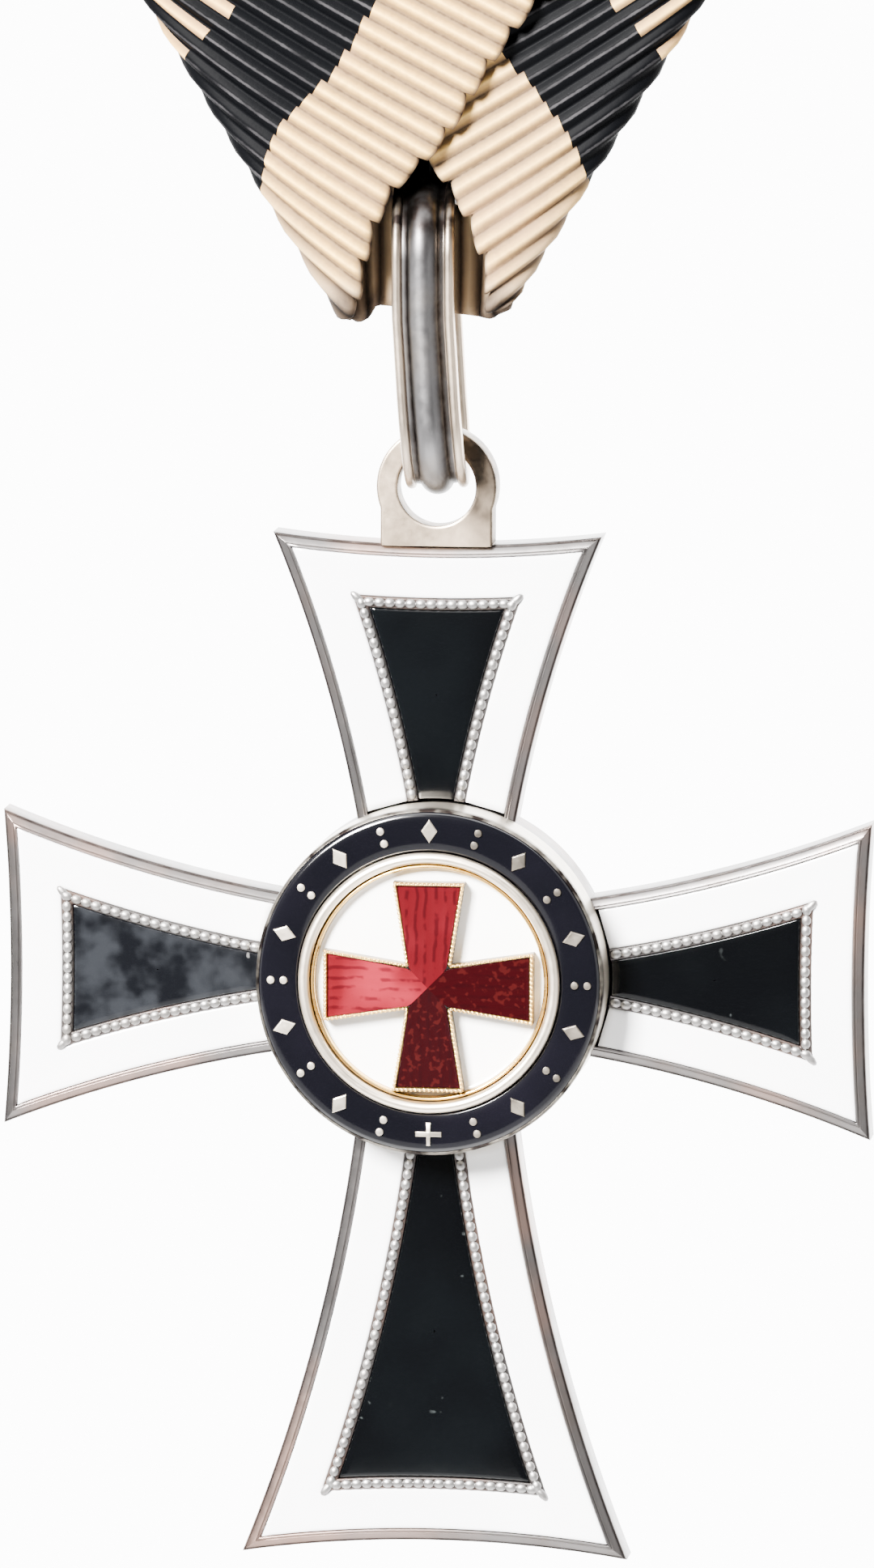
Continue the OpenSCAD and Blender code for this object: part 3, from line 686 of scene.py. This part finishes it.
def ribbon_cloth():
    """Ribbed silk: cream borders, two black stripes and a ladder of cream ribs on black.

    rib_u is the distance from the selvedge, rib_v counts the ribs, and a darkening set per point goes from 0 to
    1: mostly painted shade in and behind the folds, along the selvedge and behind the flaps, partly soiling.
    The tones from crest to groove paint shade into the grooves, and thin light lines on the black crests are a
    painted sheen.
    """
    m = Nodes("ribbon_silk", Roughness=0.6, Specular_IOR_Level=0.035)
    u, v = m.attr("rib_u"), m.attr("rib_v")
    cell = m.math("FLOOR", v)
    random = m.new("ShaderNodeTexWhiteNoise", {"W": cell}, noise_dimensions="1D").outputs["Value"]
    frac = m.math("SUBTRACT", v, cell)
    u = m.math("ADD", m.math("ADD", u, m.times(frac, -0.17)), m.span(random, 0, 1, 0, 0.2))
    crest = m.math("ABSOLUTE", m.math("SUBTRACT", frac, 0.5))
    even = m.math("GREATER_THAN", m.math("FRACT", m.times(v, 0.5)), 0.5)
    left, right = m.math("LESS_THAN", u, CREAM_U), m.math("GREATER_THAN", u, RIBBON_W - CREAM_U)
    middle = m.times(m.math("GREATER_THAN", u, BLACK_U), m.math("LESS_THAN", u, LADDER_U))
    bar = m.times(m.times(middle, even), m.math("LESS_THAN", crest, 0.4))
    is_cream = m.math("ADD", m.math("ADD", left, right, clamp=True), bar, clamp=True)
    thread = m.noise(3800, 2, 0.6)
    age = m.step(m.noise(150, 3, 0.6), 0.45, 0.72)
    cream = m.ramp(m.math("ADD", crest, m.span(thread, 0, 1, -0.08, 0.08)), CREAM_TONES)
    cream = m.mix(m.times(age, 0.35), cream, (0.36, 0.2, 0.1))
    # A painted sheen: thin light lines along the crests of the black ribs, broken by noise
    painted_sheen_breaks = m.span(m.noise(420, 3, 0.6), 0.35, 0.62, 0.1, 1.0)
    line = m.step(m.math("ADD", crest, m.span(thread, 0, 1, -0.05, 0.05)), 0.1, 0.03)
    soil = m.attr("soil")
    for least, most, tones in ((0.0, 0.5, SOILED_AND_SHADED_TONES), (0.5, 1.0, DARK_TONES)):
        cream = m.mix(m.span(soil, least, most), cream, m.ramp(crest, tones))
    black = m.mix(m.times(m.times(line, painted_sheen_breaks), 0.55), (0.0004, 0.0005, 0.0008), (0.045, 0.043, 0.045))
    m.to(Base_Color=m.mix(is_cream, black, cream), Normal=m.bump(thread, 0.02 * MM, 0.5))
    return m.mat


# Half the cloth's thickness in the grooves, and what a crest adds to it
WALL, RELIEF = 0.2, 0.25
# Where points lie across a rib and inwards from an edge
RIB_STEPS = np.array([0.0, 0.1, 0.27, 0.5, 0.73, 0.9])
EDGE_STEPS = [0, 0.05, 0.14, 0.3]


def rib_shape(v):
    """Round ribs in pairs: 1 on the crest, 0 in the groove, a little more within a pair."""
    floor = 0.11 - 0.11 * np.cos(math.pi * v)
    return floor + (1 - floor) * (0.5 - 0.5 * np.cos(2 * math.pi * v)) ** 0.7


def v_steps(count):
    return np.concatenate([k + RIB_STEPS for k in range(count)] + [[float(count)]])


def thinned(u):
    """Share of the thickness at a distance from the edge: it rounds off at the selvedge."""
    return np.sqrt(np.clip(1 - (1 - np.clip(u / 0.45, 0, 1)) ** 2, 0.03, 1))


def slab(parts, mid, u, v, from_edge, soil, under, keep=None):
    """Closed ribbed cloth about a grid of middle points.

    under is the least darkening of the back, where it is painted shade, and 0 leaves the back without it; keep
    leaves cells out.
    """
    nu, nv = mid.shape[:2]
    off = mid_normals(mid) * ((WALL + RELIEF * rib_shape(v)) * thinned(from_edge))[..., None]
    n = nu * nv
    top = grid(nu, nv)
    if keep is not None:
        top = [f for f, k in zip(top, keep.ravel()) if k]
    sides = {}
    for f in top:
        for e in zip(f, f[1:] + f[:1]):
            if e[::-1] in sides:
                del sides[e[::-1]]
            else:
                sides[e] = True
    faces = top + [tuple(i + n for i in f[::-1]) for f in top] + [(b, a, a + n, b + n) for a, b in sides]
    back_soil_and_shade = np.maximum(soil, under) if under else 0 * soil
    parts.add(np.concatenate([(mid + off).reshape(-1, 3), (mid - off).reshape(-1, 3)]), faces,
              rib_u=np.tile(u.ravel(), 2), rib_v=np.tile(v.ravel(), 2),
              soil=np.concatenate([soil.ravel(), back_soil_and_shade.ravel()]))


def mid_normals(p):
    """Normals of a grid of points, towards the front where the cloth begins."""
    n = np.cross(np.gradient(p, axis=0), np.gradient(p, axis=1))
    n /= np.maximum(np.linalg.norm(n, axis=2), 1e-9)[..., None]
    return -n if np.sum(n[p.shape[0] // 4] @ FORWARD) < 0 else n


def roll_curve(a, b):
    """Developed distance to (distance from the silhouette, depth) round an elliptic fold."""
    t = np.linspace(0, math.pi / 2, 200)
    x, y = a * (1 - np.cos(t)), b * np.sin(t)
    s = np.concatenate([[0], np.cumsum(np.hypot(np.diff(x), np.diff(y)))])

    def f(dev):
        d = np.abs(dev)
        px = np.where(d < s[-1], np.interp(d, s, x), a + d - s[-1])
        py = np.where(d < s[-1], np.interp(d, s, y), b)
        return px, py * np.sign(dev)
    return f, s[-1]


SEAM = 2.5 * PITCH  # from the middle out to where band and flaps meet
FLAP_ROWS, FLAP_REACH = 84, 47.0  # rows of points from the selvedge inwards, and how far they go
# Each fold: the x sign, half the width of the ribbon's tip, the width and half the depth of the roll
LEFT_FOLD, RIGHT_FOLD = (1, 3.5, 3.2, 1.315), (-1, 2.94, 2.2, 0.85)
# The front selvedge from the tip on, outwards and up, its slope beyond, and the heights of the lower edge
LEFT_EDGE = [(-3.28, -0.02), (-3.0, 0.6), (-2.72, 2.4), (-1.92, 4.75), (-0.94, 5.9), (0.21, 6.9), (1.2, 8.3),
             (2.25, 10.2), (3.3, 11.7), (4.18, 12.9)]
RIGHT_EDGE = [(-2.6, 0.0), (-2.7, 0.85), (-2.76, 1.75), (-2.25, 3.3), (-1.65, 4.65), (-0.9, 5.75), (-0.1, 6.7)]
LEFT_SLOPE, RIGHT_SLOPE = math.radians(51.5), math.radians(50.0)
LEFT_LOW, RIGHT_LOW = (0.12, 0.1, -0.3, -0.46, -0.3, -0.1), (-0.32, -0.32, -0.3, -0.1, 0.22, 0.55)


def flap(parts, fold, low, targets, slope, count):
    """One end of the ribbon: its part of the back's lower edge, round the fold and up the front selvedge.

    The cloth is worked out flat: dev is the distance across the fold line, q the distance along it.
    """
    side, tip_half, roll, half = fold
    f, full = roll_curve(roll, half)
    origin = np.array([-tip_half, 0.0])
    tt = np.linspace(0, full, 400)
    px, _ = f(tt)

    def to_dev(pn):
        return np.where(pn < roll, np.interp(pn, px, tt), full + pn - roll)

    def place(dev, q):
        pn, py = f(dev)
        xy = origin + pn[:, None] * N + q[:, None] * D
        return np.stack([xy[:, 0] * side, BAND_Y - half - py, RIB_LOW + xy[:, 1]], 1)

    # The lower edge behind, then the selvedge with its corners rounded
    way = np.linspace(0, 1, 60)
    rel = np.stack([(1 - way) * (tip_half - SEAM) + way * low[-1] * D[0] / D[1],
                    np.interp(way, (0, 0.15, 0.35, 0.6, 0.85, 1), low)], 1)
    dev, q = -to_dev(np.maximum(rel @ N, 0)), rel @ D
    beyond = (targets[-1][0] + 60 * math.cos(slope), targets[-1][1] + 60 * math.sin(slope))
    line = np.array([origin + q[-1] * D] + targets + [beyond])
    for _ in range(3):
        fine = [line[0]]
        for c, d in zip(line[:-1], line[1:]):
            fine += [0.75 * c + 0.25 * d, 0.25 * c + 0.75 * d]
        line = np.array(fine + [line[-1]])
    rel = line - origin
    dev, q = np.concatenate([dev, to_dev(rel @ N)[1:]]), np.concatenate([q, (rel @ D)[1:]])

    # Ribs at even steps along that edge, which stands out at each pair of ribs
    far = np.concatenate([[0], np.cumsum(np.linalg.norm(np.diff(place(dev, q), axis=0), axis=1))])
    v = v_steps(count)
    dev, q = np.interp(v * PITCH, far, dev), np.interp(v * PITCH, far, q)
    settle = np.minimum(1, v / 3)
    t = np.mod(v / 2, 1)
    out = 0.3 * (1 - t) * np.minimum(1, t / 0.05) + 0.17 * np.sqrt(np.clip(np.sin(math.pi * t), 0, 1))
    out *= settle

    def lean(dev):
        fade = np.exp(-np.abs(dev) / np.where(dev > 0, 4.5, 1.2))
        return SLOPE - np.radians(UPRIGHT + 13 * fade * settle)

    # Each rib goes inwards from the edge
    dev, q = dev + out * np.sin(lean(dev)), q - out * np.cos(lean(dev))
    ease = np.concatenate([EDGE_STEPS, np.linspace(0.6, FLAP_REACH, FLAP_ROWS - len(EDGE_STEPS))])
    mid, devs = np.zeros((FLAP_ROWS, len(v), 3)), np.zeros((FLAP_ROWS, len(v)))
    last = 0.0
    for i, e in enumerate(ease):
        a = lean(dev)
        dev, q = dev - (e - last) * np.sin(a), q + (e - last) * np.cos(a)
        last = e
        mid[i] = place(dev, q)
        devs[i] = dev
    u = np.repeat(ease[:, None], len(v), 1)
    h = mid[:, :, 2] - RIB_LOW
    # Painted shade along the selvedge, inside and behind the fold low down, and a little over the whole right
    # flap; the bottom of the fold is darker too, and the back of the flap gets painted shade
    rim = np.clip(0.85 - u / 0.16, 0, 1)
    hid = 0.65 * np.clip(0.9 - devs / 1.6, 0, 1) * np.clip(1.5 - h / 5, 0, 1)
    foot = np.clip(1.5 - h / 1.15, 0, 0.96) * np.clip(1.6 - devs / 1.6, 0, 1)
    soil = np.maximum(rim, np.maximum(hid, foot)).clip(0.13 if side < 0 else 0, 1)
    slab(parts, mid, u - out[None, :], np.repeat(v[None, :], FLAP_ROWS, 0), u, soil, 0.8)


SLIT_MID, SLIT_HALF, SLIT_LOW, SLIT_TOP = -0.15, 1.42, 4.38, 5.71
BAND_H = [0.0, 0.05, 0.14, 0.3, 0.6, 1.0, 1.5, 2, 2.5, 3, 3.6, SLIT_LOW, 4.7, SLIT_TOP, 8, 12, 20, 30,
          RIB_TOP - RIB_LOW + 1.0]


def slit_top(x):
    """Upper edge of the slit, which follows the ring's section and closes beside it."""
    off = np.abs(x - SLIT_MID + 0.03)
    shoulder = np.where((off > 0.98) & (off < 1.3), 0.78, 0.4)
    top = 4.5 + np.maximum(0.36 + np.sqrt(np.maximum(0, BULGE_R ** 2 - off ** 2)), shoulder)
    top[off > 1.35] = SLIT_LOW + 0.02
    return top


def band(parts):
    """Middle of the back layer, with upright ribs and the slit for the ring."""
    v = np.sort(np.concatenate([v_steps(5), 2.5 + (SLIT_MID + np.linspace(-SLIT_HALF, SLIT_HALF, 26)) / PITCH]))
    x = (v - 2.5) * PITCH
    x[0], x[-1] = -SEAM - 0.1, SEAM + 0.1
    h = np.array(BAND_H)
    xx, hh = np.meshgrid(x, h)
    hh[h == SLIT_TOP] = np.where(np.abs(x - SLIT_MID) < SLIT_HALF + 0.01, slit_top(x), SLIT_TOP)
    y = np.full(xx.shape, BAND_Y)
    for side, tip, roll, half in (LEFT_FOLD, RIGHT_FOLD):
        pn = np.clip((xx * side + tip) * N[0] + hh * N[1], 0, roll)
        y -= half * (1 - np.sqrt(1 - (1 - pn / roll) ** 2))
    mid = np.stack([xx, y, RIB_LOW + hh - (0.1 + 0.105 * xx) * np.exp(-hh / 1.2)], 2)
    cx, ch = (x[1:] + x[:-1])[None, :] / 2, (h[1:] + h[:-1])[:, None] / 2
    keep = ~((np.abs(cx - SLIT_MID) < SLIT_HALF) & (ch > SLIT_LOW) & (ch < SLIT_TOP))
    # Painted shade behind the flaps, darkest low down, and a dark band round the slit that is both painted
    # shade and a stain
    soil = np.clip(0.62 * np.clip(1.5 - hh / 5, 0, 1) + np.exp(-((hh - 5.1) / 0.8) ** 2), 0, 1)
    slab(parts, mid, hh, np.repeat(v[None, :], len(h), 0), hh, soil, 0, keep)


def cut(obj, point, normal):
    """Cuts a closed mesh by a plane, keeps the side against the normal and closes the cut."""
    bm = bmesh.new()
    bm.from_mesh(obj.data)
    geom = bm.verts[:] + bm.edges[:] + bm.faces[:]
    res = bmesh.ops.bisect_plane(bm, geom=geom, dist=1e-8, plane_co=Vector(point) * MM, plane_no=Vector(normal),
                                 clear_outer=True)
    edges = [e for e in res["geom_cut"] if isinstance(e, bmesh.types.BMEdge)]
    bmesh.ops.edgenet_fill(bm, edges=edges)
    bm.to_mesh(obj.data)
    bm.free()


cloth = Parts(("rib_u", "rib_v", "soil"))
flap(cloth, LEFT_FOLD, LEFT_LOW, LEFT_EDGE, LEFT_SLOPE, 65)
flap(cloth, RIGHT_FOLD, RIGHT_LOW, RIGHT_EDGE, RIGHT_SLOPE, 64)
band(cloth)
ribbon = cloth.make("ribbon_silk", ribbon_cloth(), "hanger")
cut(ribbon, (0, 0, RIB_TOP), (0, 0, 1))
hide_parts("ribbon")

# ---------------------------------------------------------------- pin
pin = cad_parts["ribbon_pin"]
pin.data.materials.clear()
pin.data.materials.append(PIN_METAL)

# ---------------------------------------------------------------- camera, light and floor
FRAME_W, FRAME_H = 1080, 1937
SENSOR = 36.0


def add(name, data):
    obj = bpy.data.objects.new(name, data)
    bpy.context.scene.collection.objects.link(obj)
    return obj


def camera(az, el, roll, dist, px_per_mm, aim):
    """A camera that shows px_per_mm at its aim, dist millimetres away; the angles are in degrees."""
    a, e, r = (math.radians(k) for k in (az, el, roll))
    to = Vector((math.sin(a) * math.cos(e), -math.cos(a) * math.cos(e), math.sin(e)))
    right = Vector((math.cos(a), math.sin(a), 0))
    up = to.cross(right)
    data = bpy.data.cameras.new("camera")
    obj = add("camera", data)
    obj.location = (Vector(aim) + to * dist) * MM
    turned_right = math.cos(r) * right + math.sin(r) * up
    turned_up = -math.sin(r) * right + math.cos(r) * up
    obj.rotation_euler = Matrix((turned_right, turned_up, to)).transposed().to_euler()
    data.sensor_fit = "VERTICAL"
    data.sensor_height = SENSOR
    data.sensor_width = SENSOR * FRAME_W / FRAME_H
    data.lens = px_per_mm * dist * SENSOR / FRAME_H
    data.clip_start = 0.01
    bpy.context.scene.camera = obj


camera(6.727, 7.348, 0.173, 600, 29.358, (0.302, BAND_Y, -53.10))
LIT_POINT = (0, 0, -0.045)


def area(name, loc, size, power, color=(1, 1, 1)):
    """A rectangular light that faces the middle of the object."""
    data = bpy.data.lights.new(name, "AREA")
    data.shape = "RECTANGLE"
    data.size, data.size_y = size
    data.energy = power
    data.color = color
    obj = add(name, data)
    obj.location = loc
    obj.rotation_euler = (Vector(LIT_POINT) - Vector(loc)).to_track_quat("-Z", "Y").to_euler()


area("key", (-0.34, -0.64, 0.35), (0.24, 0.24), 108.0, (1, 0.985, 0.97))
area("top", (0.05, -0.2, 0.62), (1.0, 0.6), 15.0)
area("left", (-0.75, -0.2, 0.02), (0.5, 1.0), 2.2)
area("right", (0.62, -0.3, 0.02), (0.6, 1.0), 2.9)
area("low", (-0.1, -0.35, -0.7), (0.8, 0.5), 3.0)

world = bpy.data.worlds.new("studio")
bpy.context.scene.world = world
world.use_nodes = True
background = world.node_tree.nodes["Background"]
background.inputs["Color"].default_value = (1, 1, 1, 1)
background.inputs["Strength"].default_value = 0.11

BACKDROP_Y, FLOOR_Z = 6, -0.9
backdrop = Nodes("backdrop", Base_Color=(0.0, 0.0, 0.0), Roughness=1.0, Specular_IOR_Level=0.0,
                 Emission_Color=(1.0, 1.0, 1.0), Emission_Strength=13.0)
floor = Nodes("floor", Base_Color=(0.7, 0.7, 0.7), Roughness=0.9, Specular_IOR_Level=0.1)
for name, look, corners in (("backdrop", backdrop, [(x, BACKDROP_Y, z) for x, z in
                                                    ((-14, -9), (14, -9), (14, 9), (-14, 9))]),
                            ("floor", floor, [(x, y, FLOOR_Z) for x, y in
                                              ((-3, -3), (3, -3), (3, 1.6), (-3, 1.6))])):
    mesh = bpy.data.meshes.new(name)
    mesh.from_pydata(corners, [], [(0, 1, 2, 3)])
    mesh.materials.append(look.mat)
    add(name, mesh)
